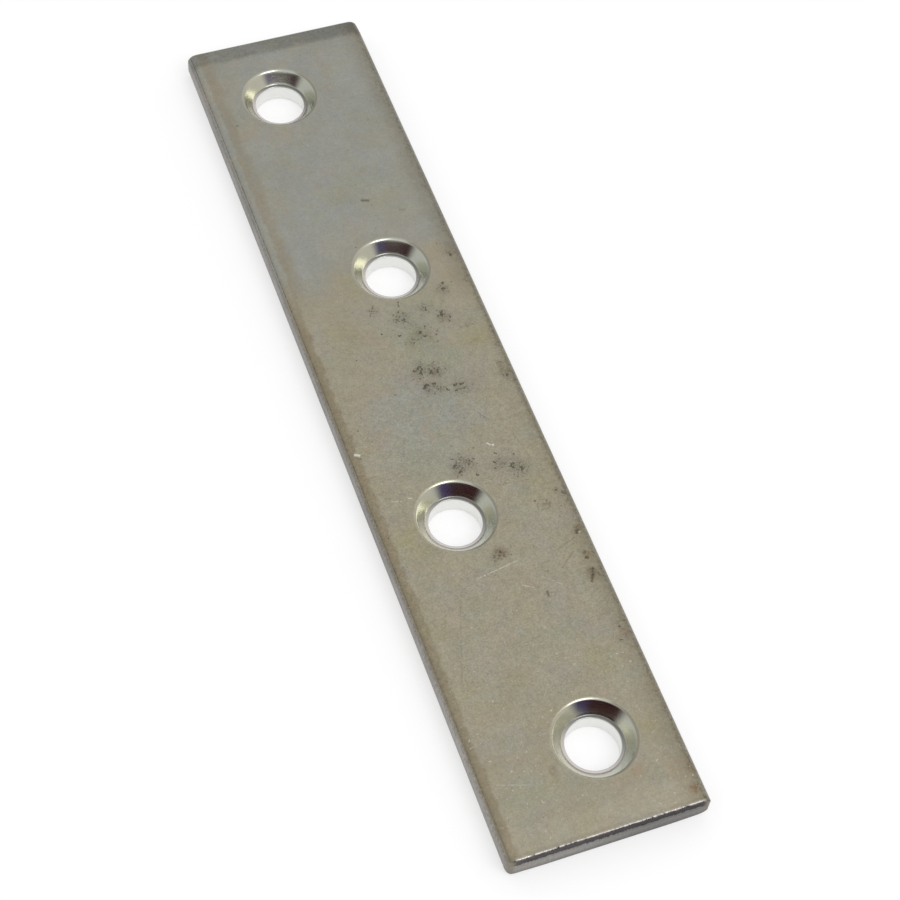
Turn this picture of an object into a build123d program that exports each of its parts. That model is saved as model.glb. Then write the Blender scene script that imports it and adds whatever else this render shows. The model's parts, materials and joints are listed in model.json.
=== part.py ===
from build123d import *
import os

# Flat steel mending plate with a zigzag row of countersunk screw holes.
# Units are millimetres. The origin is the centre of the bottom face: X runs across the
# plate, Y along it and Z up, so that the countersinks open upwards.

# The flat strip that the plate is cut from
PLATE_LENGTH = 80.0
PLATE_WIDTH = 15.7
PLATE_THICKNESS = 2.6
LONG_EDGE_RADIUS = 0.8  # rounding of the strip's rolled long edges
CORNER_RADIUS = 0.3  # corners in plan

# The sheared ends: the metal rolls over on the side where the shear enters,
# and stays nearly sharp on the side where it leaves
FAR_ROLL_LENGTH = 1.5  # on top of the far end
FAR_ROLL_DEPTH = 0.35
NEAR_ROLL_LENGTH = 0.5  # underneath the near end
NEAR_ROLL_DEPTH = 0.25
SHEAR_EDGE_RADIUS = 0.12

# Screw holes
END_HOLE_INSET = 7.1  # from each end to the centre of the nearest hole
INNER_HOLE_PITCH = 24.2  # between the two middle holes, along the plate
HOLE_OFFSET = 1.55  # each hole's distance from the long centre line
HOLE_DIAMETER = 4.2
COUNTERSINK_DIAMETER = 6.35  # at the top face, before its edge is softened
COUNTERSINK_FLOOR_DIAMETER = 4.7  # where the cone ends on a narrow flat ring
COUNTERSINK_DEPTH = 1.05
COUNTERSINK_LIP_RADIUS = 0.2  # soft edge where the pressed cone meets the face
HOLE_EDGE_RADIUS = 0.15  # edge of each hole on the bottom face

half_length = PLATE_LENGTH / 2
end_hole_y = half_length - END_HOLE_INSET
inner_hole_y = INNER_HOLE_PITCH / 2

# The holes lie to the left and right of the centre line in turn
hole_centres = [
    (-HOLE_OFFSET, end_hole_y),
    (HOLE_OFFSET, inner_hole_y),
    (-HOLE_OFFSET, -inner_hole_y),
    (HOLE_OFFSET, -end_hole_y),
]

with BuildPart() as mending_plate:
    # Flat strip with rounded long edges
    with BuildSketch(Plane.XZ) as strip_section:
        with Locations((0, PLATE_THICKNESS / 2)):
            RectangleRounded(PLATE_WIDTH, PLATE_THICKNESS, LONG_EDGE_RADIUS)
    extrude(amount=half_length, both=True)

    # Outline in plan, with rounded corners
    with BuildSketch() as outline:
        RectangleRounded(PLATE_WIDTH, PLATE_LENGTH, CORNER_RADIUS)
    extrude(amount=PLATE_THICKNESS, mode=Mode.INTERSECT)

    # Side view: rolled over at the top of the far end and at the bottom of the near end
    with BuildSketch(Plane.YZ) as side_view:
        with BuildLine() as side_line:
            far_roll_over = EllipticalCenterArc(
                (half_length - FAR_ROLL_LENGTH, PLATE_THICKNESS - FAR_ROLL_DEPTH),
                FAR_ROLL_LENGTH,
                FAR_ROLL_DEPTH,
                start_angle=0,
                arc_size=90,
            )
            near_roll_over = EllipticalCenterArc(
                (NEAR_ROLL_LENGTH - half_length, NEAR_ROLL_DEPTH),
                NEAR_ROLL_LENGTH,
                NEAR_ROLL_DEPTH,
                start_angle=180,
                arc_size=90,
            )
            near_edge = CenterArc(
                (SHEAR_EDGE_RADIUS - half_length, PLATE_THICKNESS - SHEAR_EDGE_RADIUS),
                SHEAR_EDGE_RADIUS,
                start_angle=90,
                arc_size=90,
            )
            far_edge = CenterArc(
                (half_length - SHEAR_EDGE_RADIUS, SHEAR_EDGE_RADIUS),
                SHEAR_EDGE_RADIUS,
                start_angle=270,
                arc_size=90,
            )
            Line(far_roll_over @ 1, near_edge @ 0)
            Line(near_edge @ 1, near_roll_over @ 0)
            Line(near_roll_over @ 1, far_edge @ 0)
            Line(far_edge @ 1, far_roll_over @ 0)
        make_face()
    extrude(amount=PLATE_WIDTH / 2, both=True, mode=Mode.INTERSECT)

    # Countersunk screw holes, opening at the top face
    with Locations(Plane.XY.offset(PLATE_THICKNESS)):
        with Locations(*hole_centres):
            Hole(radius=HOLE_DIAMETER / 2)
            Cone(
                bottom_radius=COUNTERSINK_FLOOR_DIAMETER / 2,
                top_radius=COUNTERSINK_DIAMETER / 2,
                height=COUNTERSINK_DEPTH,
                align=(Align.CENTER, Align.CENTER, Align.MAX),
                mode=Mode.SUBTRACT,
            )
    round_edges = mending_plate.edges().filter_by(GeomType.CIRCLE)
    lip_edges = round_edges.filter_by(
        lambda edge: abs(edge.radius - COUNTERSINK_DIAMETER / 2) < 0.001
        and edge.center().Z > PLATE_THICKNESS / 2
    )
    fillet(lip_edges, COUNTERSINK_LIP_RADIUS)
    round_edges = mending_plate.edges().filter_by(GeomType.CIRCLE)
    bottom_edges = round_edges.filter_by(
        lambda edge: abs(edge.radius - HOLE_DIAMETER / 2) < 0.001
        and edge.center().Z < 0.001
    )
    fillet(bottom_edges, HOLE_EDGE_RADIUS)

mending_plate.part.label = "mending_plate"

os.makedirs("parts", exist_ok=True)
export_step(mending_plate.part, "parts/mending_plate.step")
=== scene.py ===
"""Mending plate: a zinc-plated steel strip with four countersunk screw holes.

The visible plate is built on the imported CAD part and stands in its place.
"""

import json
import math
import random

import bmesh
import bpy
import numpy as np
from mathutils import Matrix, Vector


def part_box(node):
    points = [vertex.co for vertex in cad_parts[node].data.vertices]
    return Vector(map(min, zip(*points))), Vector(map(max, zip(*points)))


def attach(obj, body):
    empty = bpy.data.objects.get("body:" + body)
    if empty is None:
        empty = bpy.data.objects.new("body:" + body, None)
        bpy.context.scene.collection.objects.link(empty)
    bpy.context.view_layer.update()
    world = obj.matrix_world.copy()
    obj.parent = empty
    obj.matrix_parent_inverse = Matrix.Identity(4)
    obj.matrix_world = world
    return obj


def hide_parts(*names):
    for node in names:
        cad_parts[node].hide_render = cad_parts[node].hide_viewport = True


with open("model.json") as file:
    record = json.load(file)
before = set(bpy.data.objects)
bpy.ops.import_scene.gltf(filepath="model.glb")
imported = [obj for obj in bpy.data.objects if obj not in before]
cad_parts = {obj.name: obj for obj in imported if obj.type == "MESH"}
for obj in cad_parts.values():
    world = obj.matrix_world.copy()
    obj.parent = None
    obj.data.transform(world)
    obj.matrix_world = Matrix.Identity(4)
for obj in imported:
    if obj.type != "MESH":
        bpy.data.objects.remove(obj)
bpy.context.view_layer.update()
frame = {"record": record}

bl_info = {
    "name": "Mending Plate",
    "version": (1, 0, 0),
    "blender": (4, 5, 0),
    "location": "3D View > Sidebar > Mending Plate",
    "description": "Builds a zinc-plated mending plate on its packed CAD part, and a plain studio for it",
    "category": "Add Mesh",
}

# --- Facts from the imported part, in millimetres. The mesh is worked out in millimetres too. ---

MM = 0.001
PART = "mending_plate"
SLOT = "zinc_plated_steel"

LOW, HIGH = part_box(PART)
HALF_WIDTH = (HIGH.x - LOW.x) / 2 / MM
HALF_LENGTH = (HIGH.y - LOW.y) / 2 / MM
THICKNESS = (HIGH.z - LOW.z) / MM
BORES = [mount for mount in frame["record"]["mounts"] if mount["kind"] == "bore"]
HOLE_CENTRES = [(bore["pos_m"][0] / MM, bore["pos_m"][1] / MM) for bore in BORES]
HOLE_RADIUS = BORES[0]["dims"]["r_mm"]
HOLE_OFFSET = max(abs(x) for x, _ in HOLE_CENTRES)

# --- Mesh layout: how finely each zone of the plate is divided ---

RIM = 1.7  # mm from the outline to the flat field
CELL = 4.6  # mm, half the length of the square cell round each hole
GRID = 0.305  # mm, aimed size of a face on the flat field
CELL_STEPS = 30  # faces along a side of a cell
SIDE_STEPS = 10  # faces across the field beside a cell
FAN_STRAIGHT, FAN_ARC = 7, 8  # faces along the straights and round the arc of a corner
RIM_FLAT, RIM_ROUND, WALL_STEPS = 6, 10, 14  # rows over the flat rim, its rounded edge and the side wall
RIM_SPACING = 1.6  # above 1, the flat rim's rows crowd towards the edge
COLLAR_STEPS = 7  # rows from the opening of a hole out to its cell
COLLAR_SPACING = 1.35  # above 1, those rows crowd towards the hole
CELL_START = math.radians(225)  # direction of a cell's first corner
LIP_STEPS, CONE_STEPS, BREAK_STEPS, LAND_STEPS, FOOT_STEPS = 5, 6, 4, 5, 4  # rows inside a hole
PATTERN_GAP = 0.6  # mm between the pieces of the flat pattern
WALL_STRIP_GAP, WALL_STRIP_PITCH = 1.0, 1.5  # mm, the same for the holes' straight walls
PATTERN_MARGIN = 0.3  # mm round the whole flat pattern
TINTS = ("cool", "green", "olive", "tan", "rust")
ZONES = ("bore", "ledge", "land", "flank", "front", "ending", "cut", "bend", "scuff", *TINTS)

# --- Small forms and irregularities, in millimetres unless a note says otherwise ---

CORNER_WEAR = (0.8, 1.1, 0.6, 2.1)  # each corner's radius against the nominal one, anticlockwise
BREAK_RADIUS = 0.08  # soft inner edge of the flat ring at the bottom of a countersink
CONE_END = 0.05  # outside the flat ring, where the rows of a countersink's cone end
GROOVE = ((0.01, 0.022, 0.3), (-0.03, 0.004, 1.0))  # outwards and up from the ring's edge, ring mask
BEAD = (0.1, 0.2, 0.3, 0.42)  # out from a countersink's lip, where its pressed bead is divided
BEAD_DEPTH = 0.014
BEAD_MEAN, BEAD_SWING = 0.6, 0.5  # shares of that depth: the same all round, and uneven
HOLE_UNEVENNESS = 0.02  # how far a countersink is out of round
HOLE_UNEVEN_REACH = 1.1  # out from the hole's straight wall, over which it is so
ROLL_WANDER = 0.03  # share of a roll-over's length by which its start wanders
ROLL_EASE = 0.16  # share of its length over which it starts
ROLL_SLOPE = 0.42  # share of its depth in an even slope; the rest is in a bend at the very end
ROLL_BEND_POWER = 7  # sharpness of that bend
CORNER_ROLL = 0.6  # share by which the lower one is deeper at the corners
CORNER_ROLL_REACH = (4.5, 7.5)  # out from the middle, where it gets deeper
CALM = (0.2, 1.7)  # out from a countersink, where the waves of the faces start
BLOT_EDGE = (1.45, 0.45)  # shares of a blot's radius between which it fades
FOLD_TILT, FOLD_START, FOLD_REACH = 0.8, 0.6, 0.2  # how a sheared end's look starts before its sharp edge
ENDING_REACH = 0.3  # in from the lower edge of the other end, where its look starts
TORN_TOP, TORN_FOOT = (0.2, 0.3), (1.11, 0.97)  # down from the sharp edge, where the bite starts and ends
TORN_CORNER = (0.35, 1.15)  # in from a long side, where it starts
BITE, BITE_SWING = 0.035, 0.022  # its depth, and how much that changes
TEAR_LEAN = (2.2, 3.1, 5)  # how fast it changes across and up, and from one end to the other
FACE_SEEDS, FACE_WAVE = {1: 11, -1: 12}, 9.0  # seeds by side, and the longest wave
ROLL_SEED, ROLL_WAVE = 20, 5.3
TEAR_SEED, TEAR_WAVE = 21, 3.1
HOLE_SEED, BEAD_SEED = 40, 60  # each hole adds its own number or place

# --- Marks, placed on the upper face in millimetres ---

# Scuffed patches on the upper face: x, y, radius in mm, strength
SCUFFS = (
    (4.95, 8.9, 0.75, 1.0), (4.1, 6.2, 0.6, 1.0), (2.8, 7.5, 0.6, 0.6), (-1.35, 8.45, 0.5, 0.6),
    (0.65, 7.05, 0.8, 0.7), (5.65, 4.75, 0.35, 0.8), (5.7, 3.1, 0.3, 0.8), (1.45, 1.2, 0.6, 1.0),
    (0.5, 1.85, 0.45, 0.9), (0.0, 1.4, 0.4, 0.7), (6.65, -0.4, 0.5, 1.0), (6.75, 0.45, 0.35, 1.0),
    (0.55, -0.3, 0.5, 1.0), (1.3, -0.5, 0.4, 0.6), (2.9, -0.9, 0.6, 0.6), (0.6, 4.4, 0.4, 0.5),
    (1.6, 4.9, 0.8, 0.5), (0.1, -8.05, 0.6, 0.95), (0.6, -7.15, 0.4, 0.8), (1.1, -7.9, 0.4, 0.7),
    (3.25, -8.55, 0.45, 0.8), (4.9, -9.5, 0.65, 0.95), (5.5, -13.4, 0.6, 0.7), (0.5, -16.2, 0.5, 1.0),
    (0.0, -16.6, 0.4, 1.0), (1.0, -16.7, 0.3, 0.8), (6.6, -12.2, 0.3, 0.8), (2.7, -20.65, 0.35, 0.8),
    (0.1, -21.45, 0.3, 0.7), (6.55, -19.9, 0.5, 1.0), (6.7, -18.2, 0.4, 0.8), (6.95, -16.1, 0.45, 1.0),
    (6.6, -26.0, 0.4, 0.6), (6.7, 12.2, 0.5, 0.8), (6.9, 13.2, 0.4, 0.7), (7.0, 39.2, 0.8, 0.6),
    (1.6, 6.2, 3.4, 0.36), (0.7, 4.4, 1.4, 0.1), (6.9, -1.1, 0.4, 0.7), (1.6, 0.4, 3.4, 0.36),
    (3.9, -1.2, 1.0, 0.35), (0.2, -8.2, 1.4, 0.35), (4.4, -9.2, 1.3, 0.35), (6.9, -12.7, 0.5, 0.6),
    (6.8, -24.8, 0.3, 0.9), (2.6, -8.6, 3.4, 0.28),
)

# Discoloured blots on the upper face: x, y, radius in mm, tint, strength
BLOTS = (
    (-1.0, -2.6, 3.9, "cool", 0.8), (-2.8, -4.0, 2.4, "cool", 0.4), (2.4, -3.2, 1.8, "cool", 0.4),
    (-1.6, -6.4, 2.6, "green", 0.6), (2.2, 2.2, 2.4, "green", 0.6), (1.6, 6.0, 2.8, "green", 0.65),
    (-4.6, -35.6, 1.6, "green", 0.55), (-4.6, 6.6, 1.6, "olive", 0.35), (5.8, 3.6, 1.2, "olive", 0.6),
    (5.3, -11.6, 1.2, "olive", 0.4), (-5.3, -13.4, 1.5, "olive", 0.7), (-2.4, 11.2, 1.3, "olive", 0.6),
    (-6.8, -21.0, 1.2, "olive", 0.5), (-6.3, -26.0, 1.4, "olive", 0.25),
    (-6.6, -33.0, 1.2, "olive", 0.25), (4.6, -27.0, 1.7, "olive", 0.45),
    (5.4, -33.5, 1.3, "olive", 0.6), (1.2, 21.6, 1.3, "green", 0.7), (-0.6, 20.9, 1.1, "olive", 0.3),
    (3.6, 19.0, 2.2, "olive", 0.3), (-2.9, 28.6, 1.2, "tan", 0.4), (-5.4, 29.6, 1.3, "tan", 0.3),
    (-6.6, 35.0, 1.6, "tan", 0.35), (-6.3, 21.5, 1.5, "tan", 0.15), (5.6, 12.0, 1.8, "tan", 0.5),
    (3.6, -36.2, 0.6, "tan", 0.8), (6.6, -37.2, 1.2, "tan", 0.7), (6.85, -38.9, 0.4, "rust", 0.6),
    (7.2, -37.4, 0.5, "rust", 0.2), (-2.3, -34.4, 0.35, "rust", 0.4), (0.6, -16.2, 0.45, "rust", 0.5),
    (7.0, -15.9, 0.35, "rust", 0.4), (6.5, -20.1, 0.45, "rust", 0.45), (6.8, -18.4, 0.35, "rust", 0.4),
    (6.9, -25.5, 0.4, "rust", 0.35),
)

# Fine scratches on the upper face: start x, y, end x, y, width in mm, and how strongly each shows
LIGHT_SCRATCHES = (
    (2.95, -6.55, 3.55, -6.95, 0.16, 1.0), (-5.95, -9.4, -5.05, -9.65, 0.06, 0.8),
    (-2.2, -17.9, 1.8, -17.25, 0.07, 0.55), (1.0, -19.35, 2.0, -19.95, 0.06, 0.6),
    (-6.7, -34.1, -4.1, -34.95, 0.05, 0.4), (-7.3, -4.4, -6.8, -4.7, 0.24, 1.0),
    (2.6, -19.0, 4.4, -20.6, 0.04, 0.5), (7.3, -19.75, 7.65, -19.95, 0.12, 0.7),
    (-4.6, -9.5, -4.2, -9.65, 0.07, 0.7), (-3.8, -24.0, -1.4, -22.2, 0.04, 0.2),
    (6.9, -16.33, 7.22, -16.36, 0.16, 0.6),
)
DARK_SCRATCHES = (
    (4.82, -12.9, 4.72, -13.6, 0.12, 0.5), (4.85, -13.65, 5.6, -13.6, 0.12, 0.45),
    (5.6, -13.65, 5.75, -13.15, 0.14, 0.7), (3.1, -3.1, 3.9, -4.5, 0.07, 0.8),
    (2.2, -10.45, 5.4, -10.75, 0.07, 0.5), (4.6, -17.4, 6.7, -16.6, 0.08, 0.6),
    (4.2, -19.2, 6.1, -17.7, 0.08, 0.55), (1.4, 19.75, 2.2, 19.5, 0.3, 1.0),
    (4.15, 17.85, 4.85, 17.65, 0.3, 0.3), (5.0, -13.1, 5.9, -13.35, 0.08, 0.8),
    (5.0, -12.7, 5.7, -12.8, 0.06, 0.6), (0.4, -2.8, 0.9, -3.25, 0.06, 0.7),
    (-7.2, -4.75, -6.8, -5.0, 0.1, 0.8), (-1.8, 7.8, -1.1, 9.0, 0.09, 0.9),
    (-2.0, 8.6, -0.8, 8.1, 0.09, 0.9), (5.3, -6.0, 5.9, -9.3, 0.06, 0.45),
    (-3.6, -18.5, -6.4, -26.7, 0.09, 0.28), (6.82, -19.55, 6.5, -20.35, 0.19, 1.25),
    (6.62, -20.05, 6.18, -20.85, 0.25, 1.1), (6.95, -20.1, 7.05, -20.5, 0.2, 0.8),
    (6.52, -18.58, 6.83, -18.77, 0.26, 1.2), (6.62, -18.08, 6.78, -18.22, 0.22, 0.8),
    (6.9, -16.1, 6.68, -16.52, 0.26, 1.2), (2.72, -20.4, 2.65, -21.0, 0.2, 0.9),
    (3.32, -18.8, 3.48, -18.95, 0.2, 0.5), (6.98, -12.52, 7.28, -12.85, 0.24, 1.0),
    (4.65, -12.65, 4.8, -12.78, 0.22, 0.9),
)

# Soft mottling of the whole face: shift in the noise, size in mm, low and high, tint, weight
MOTTLES = (
    (20.0, 3.2, 0.48, 0.64, "lilac", 1.0),
    (40.0, 2.8, 0.50, 0.66, "olive", 0.8),
    (60.0, 2.3, 0.50, 0.66, "green", 1.0),
    (80.0, 2.0, 0.50, 0.68, "tan", 0.8),
    (90.0, 0.8, 0.50, 0.68, "olive", 0.5),
    (99.0, 0.7, 0.50, 0.68, "lilac", 0.6),
)
SPECK_COVER, SPECK_EDGE = -0.20, 0.73  # specks start in the noise at Cover times the first, plus the second
SPECK_SOFTNESS = 0.08  # how far above that they reach their full strength
SCRATCH_FADE = 0.12  # how soon a scratch fades in, as its share times the rest of it
WIDE_SCRATCH, WIDE_SCRATCH_SHARE = 0.2, 0.8  # mm from which a scratch isn't broken up, and its width then
DARK_STRENGTH, SPARKLE_STRENGTH, LIGHT_STRENGTH = 0.6, 0.45, 0.85

# --- Studio ---

WHITE = (1.0, 1.0, 1.0, 1.0)
DOME_TONES = ((0.0, 0.8), (0.3, 0.8), (0.5, 0.92), (0.66, 1.02), (0.85, 1.04), (1.0, 1.0))  # height, level
FLAG_FOOT, FLAG_TOP = (0.0, 0.03), (0.46, 0.58)  # heights on the dome between which the dark flag fades
FLAG_SIDES, FLAG_END = (0.38, 0.76), (0.2, 0.62)  # cosine from its middle, and sine towards its nearer end
FLOOR_DROP = 0.00001  # metres below the plate
LAMP_PLACE, LAMP_SIZE = (0.13, -0.29, 0.45), 0.30  # metres
SENSOR_WIDTH = 36.0  # mm
CLIP_START, CLIP_END = 0.005, 10.0  # metres


def smooth(value):
    """Runs evenly from 0 to 1 with soft ends."""
    value = np.clip(value, 0.0, 1.0)
    return value * value * (3.0 - 2.0 * value)


def rise(value, low, high):
    """Runs from 0 at low to 1 at high with soft ends. low may be the greater of the two."""
    return smooth((value - low) / (high - low))


def wavy_line(waves):
    """A line with heights from about -1 to 1, made of waves: turn per length, start and height."""
    whole = sum(height for _, _, height in waves)

    def line(place):
        return sum(h * np.sin(place * k + p) for k, p, h in waves) / whole

    return line


def ripple(seed, longest, count=5, finer=1.7, fainter=0.62):
    """A seeded wavy line. longest is its longest wave, and each further one is finer and fainter."""
    draw = random.Random(seed)
    waves = []
    for number in range(count):
        wave = longest / (finer**number)
        waves.append((2 * math.pi / wave, draw.uniform(0, 2 * math.pi), fainter**number))
    return wavy_line(waves)


def ring_ripple(seed, count=6, fading=-0.6):
    """A seeded wavy line round a ring, by angle."""
    draw = random.Random(seed)
    waves = [(turns, draw.uniform(0, 2 * math.pi), turns**fading) for turns in range(1, count + 1)]
    return wavy_line(waves)


def swell(seed, longest, count=7, finer=1.45, fainter=0.75):
    """A seeded wavy surface with heights from about -1 to 1. longest is its longest wave."""
    draw = random.Random(seed)
    waves = []
    for number in range(count):
        angle = draw.uniform(0, math.pi)
        wave = 2 * math.pi / (longest / (finer**number))
        waves.append((math.cos(angle) * wave, math.sin(angle) * wave, draw.uniform(0, 6.3), fainter**number))
    whole = sum(wave[3] for wave in waves)

    def surface(x, y):
        return sum(h * np.sin(x * a + y * b + p) for a, b, p, h in waves) / whole

    return surface


def rounding(gap, radius):
    """How far a rounded edge has dropped at a distance from the side that it runs into."""
    rest = radius - np.clip(gap, 0.0, radius)
    return radius - np.sqrt(np.clip(radius**2 - rest**2, 0.0, None))


class Skin:
    """Gathers the plate's points, faces, zone masks and flat pattern."""

    def __init__(self):
        self.points = np.zeros((0, 3))
        self.masks = {zone: np.zeros(0) for zone in ZONES}
        self.faces = []
        self.pattern = []

    def add(self, x, y, z, **masks):
        """Adds points, given as arrays of one shape, and returns their numbers in that shape."""
        x, y, z = np.broadcast_arrays(x, y, z)
        first = len(self.points)
        self.points = np.vstack([self.points, np.stack([x.ravel(), y.ravel(), z.ravel()], 1)])
        for zone in ZONES:
            value = np.broadcast_to(masks.get(zone, 0.0), x.shape).ravel()
            self.masks[zone] = np.concatenate([self.masks[zone], value])
        return first + np.arange(x.size).reshape(x.shape)

    def face(self, corners, places):
        """Adds one face, or a triangle where two of its corners are the same point."""
        kept = [n for n in range(4) if corners[n] != corners[n - 1]]
        if len(kept) > 2:
            self.faces.append([int(corners[n]) for n in kept])
            self.pattern.extend(places[n] for n in kept)

    def weave(self, rows, u, v):
        """Joins closed rows of numbers. u and v hold the flat pattern's places, in one column more."""
        rows = np.hstack([rows, rows[:, :1]])
        for r in range(rows.shape[0] - 1):
            for c in range(rows.shape[1] - 1):
                cells = ((r, c), (r, c + 1), (r + 1, c + 1), (r + 1, c))
                self.face([rows[cell] for cell in cells], [(u[cell], v[cell]) for cell in cells])


class PlateBuilder:
    """Works out the plate's skin from its sizes. Side 1 is the upper face, and side -1 the lower one."""

    def __init__(self, form):
        self.edge = form.long_edge_radius / MM
        self.corner = form.corner_radius / MM
        self.roll_length = {1: form.far_roll_length / MM, -1: form.near_roll_length / MM}
        self.roll_depth = {1: form.far_roll_depth / MM, -1: form.near_roll_depth / MM}
        self.shear_edge = form.shear_edge_radius / MM
        self.ledge = form.countersink_floor_diameter / 2 / MM
        self.cone_depth = form.countersink_depth / MM
        sink = form.countersink_diameter / 2 / MM
        self.cone_tilt = math.atan2(self.cone_depth, sink - self.ledge)
        self.lip = form.lip_radius / MM
        self.foot = form.hole_edge_radius / MM
        self.wave = form.face_waviness / MM
        self.fall = form.edge_fall / MM
        self.fall_width = form.edge_fall_width / MM
        self.swells = {side: swell(seed, FACE_WAVE) for side, seed in FACE_SEEDS.items()}
        self.roll_line = ripple(ROLL_SEED, ROLL_WAVE)
        self.tear = ripple(TEAR_SEED, TEAR_WAVE)
        self.skin = Skin()
        self.top_collar = sink + self.lip * math.tan(self.cone_tilt / 2)
        self.foot_collar = HOLE_RADIUS + self.foot

    # --- Heights and masks ---

    def rolled(self, x, y, side):
        """How far the face has rolled over at an end: on top of the far end, and underneath the near
        end, where it is deeper at the corners."""
        start = HALF_LENGTH - self.roll_length[side] * (1.0 + ROLL_WANDER * self.roll_line(x))
        reach = np.clip((side * y - start) / (HALF_LENGTH - start), 0.0, 1.0)
        slope = np.where(reach < ROLL_EASE, reach**2 / (2 * ROLL_EASE), reach - ROLL_EASE / 2)
        slope = slope / (1.0 - ROLL_EASE / 2)
        bend = 1.0 - np.sqrt(np.clip(1.0 - reach**ROLL_BEND_POWER, 0.0, 1.0))
        deeper = 1.0 if side > 0 else 1.0 + CORNER_ROLL * rise(np.abs(x), *CORNER_ROLL_REACH)
        return self.roll_depth[side] * deeper * (ROLL_SLOPE * slope + (1.0 - ROLL_SLOPE) * bend)

    def face_height(self, x, y, side):
        """Height of a face."""
        nearest = np.min([np.hypot(x - a, y - b) for a, b in HOLE_CENTRES], axis=0)
        sag = self.wave * rise(nearest - self.top_collar, *CALM) * (0.5 + 0.5 * self.swells[side](x, y))
        edge = np.clip((x - (HALF_WIDTH - self.fall_width)) / self.fall_width, 0.0, 1.0)
        depth = self.rolled(x, y, side) + sag + self.fall * edge**2
        depth = depth + rounding(HALF_WIDTH - np.abs(x), self.edge)
        depth = depth + rounding(HALF_LENGTH + side * y, self.shear_edge)
        return THICKNESS - depth if side > 0 else depth

    def bend(self, x):
        """How far the surface has turned down into a long side: 0 on the faces, 1 on the wall."""
        gap = np.clip(HALF_WIDTH - np.abs(x), 0.0, self.edge)
        return np.arcsin(1.0 - gap / self.edge) / (math.pi / 2)

    def face_masks(self, x, y, side):
        """Scuffing and discoloured blots of the upper face. The lower face has none."""
        if side < 0:
            return {}
        scuff = 0.0
        for a, b, radius, strength in SCUFFS:
            scuff = scuff + strength * np.exp(-(((x - a) ** 2 + (y - b) ** 2) / radius**2))
        masks = {tint: 0.0 for tint in TINTS}
        for a, b, radius, tint, strength in BLOTS:
            blot = strength * rise(np.hypot(x - a, y - b) / radius, *BLOT_EDGE)
            masks[tint] = np.maximum(masks[tint], blot)
        return {"scuff": np.clip(scuff, 0.0, 1.0), **masks}

    # --- Helpers ---

    def flat(self, x, y, side):
        """Flat pattern of a face, in millimetres: the upper face first and the lower face beside it."""
        across = x + HALF_WIDTH if side > 0 else 3 * HALF_WIDTH + PATTERN_GAP - x
        return across, y + HALF_LENGTH

    def on_face(self, x, y, side, dip=0.0):
        """Adds points on a face, and returns their numbers."""
        height = self.face_height(x, y, side) - dip
        return self.skin.add(x, y, height, **self.face_masks(x, y, side))

    def weave_flat(self, rows, side):
        """Joins closed rows, which lie in the flat pattern as they do on their face."""
        rows = np.array(rows)
        u, v = self.flat(self.skin.points[rows, 0], self.skin.points[rows, 1], side)
        self.skin.weave(rows, np.hstack([u, u[:, :1]]), np.hstack([v, v[:, :1]]))

    def border(self, numbers, left, bottom, right, top):
        """The numbers round a rectangle of the field, anticlockwise from its lower left corner."""
        return np.concatenate(
            [
                numbers[bottom, left:right],
                numbers[bottom:top, right],
                numbers[top, left + 1 : right + 1][::-1],
                numbers[bottom + 1 : top + 1, left][::-1],
            ]
        )

    # --- Parts of the skin ---

    def field(self, side):
        """The flat field with a round opening at each hole. Returns its border and the openings' rings."""
        skin = self.skin
        edge_x, edge_y = HALF_WIDTH - RIM, HALF_LENGTH - RIM
        inner_x = edge_x - 2 * HOLE_OFFSET
        xs = np.concatenate(
            [
                np.linspace(-edge_x, -inner_x, SIDE_STEPS + 1)[:-1],
                np.linspace(-inner_x, inner_x, CELL_STEPS - SIDE_STEPS + 1)[:-1],
                np.linspace(inner_x, edge_x, SIDE_STEPS + 1),
            ]
        )
        centres = sorted(HOLE_CENTRES, key=lambda centre: centre[1])
        ys, rows, low = [], [], -edge_y
        for _, y in centres:
            steps = max(2, round((y - CELL - low) / GRID))
            ys.extend(np.linspace(low, y - CELL, steps + 1)[:-1])
            rows.append(len(ys))
            ys.extend(np.linspace(y - CELL, y + CELL, CELL_STEPS + 1)[:-1])
            low = y + CELL
        ys.extend(np.linspace(low, edge_y, max(2, round((edge_y - low) / GRID)) + 1))
        x, y = np.meshgrid(xs, ys)
        point_used = np.ones(x.shape, bool)
        face_used = np.ones((len(ys) - 1, len(xs) - 1), bool)
        cells = []
        for centre, row in zip(centres, rows, strict=True):
            column = 0 if centre[0] < 0 else SIDE_STEPS
            point_used[row + 1 : row + CELL_STEPS, column + 1 : column + CELL_STEPS] = False
            face_used[row : row + CELL_STEPS, column : column + CELL_STEPS] = False
            cells.append((centre, row, column))
        numbers = np.full(x.shape, -1)
        numbers[point_used] = self.on_face(x[point_used], y[point_used], side)
        u, v = self.flat(x, y, side)
        for r, c in np.argwhere(face_used):
            corners = ((r, c), (r, c + 1), (r + 1, c + 1), (r + 1, c))
            skin.face([numbers[k] for k in corners], [(u[k], v[k]) for k in corners])
        rings = [self.collar(numbers, cell, side) for cell in cells]
        return self.border(numbers, 0, 0, len(xs) - 1, len(ys) - 1), rings

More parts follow.
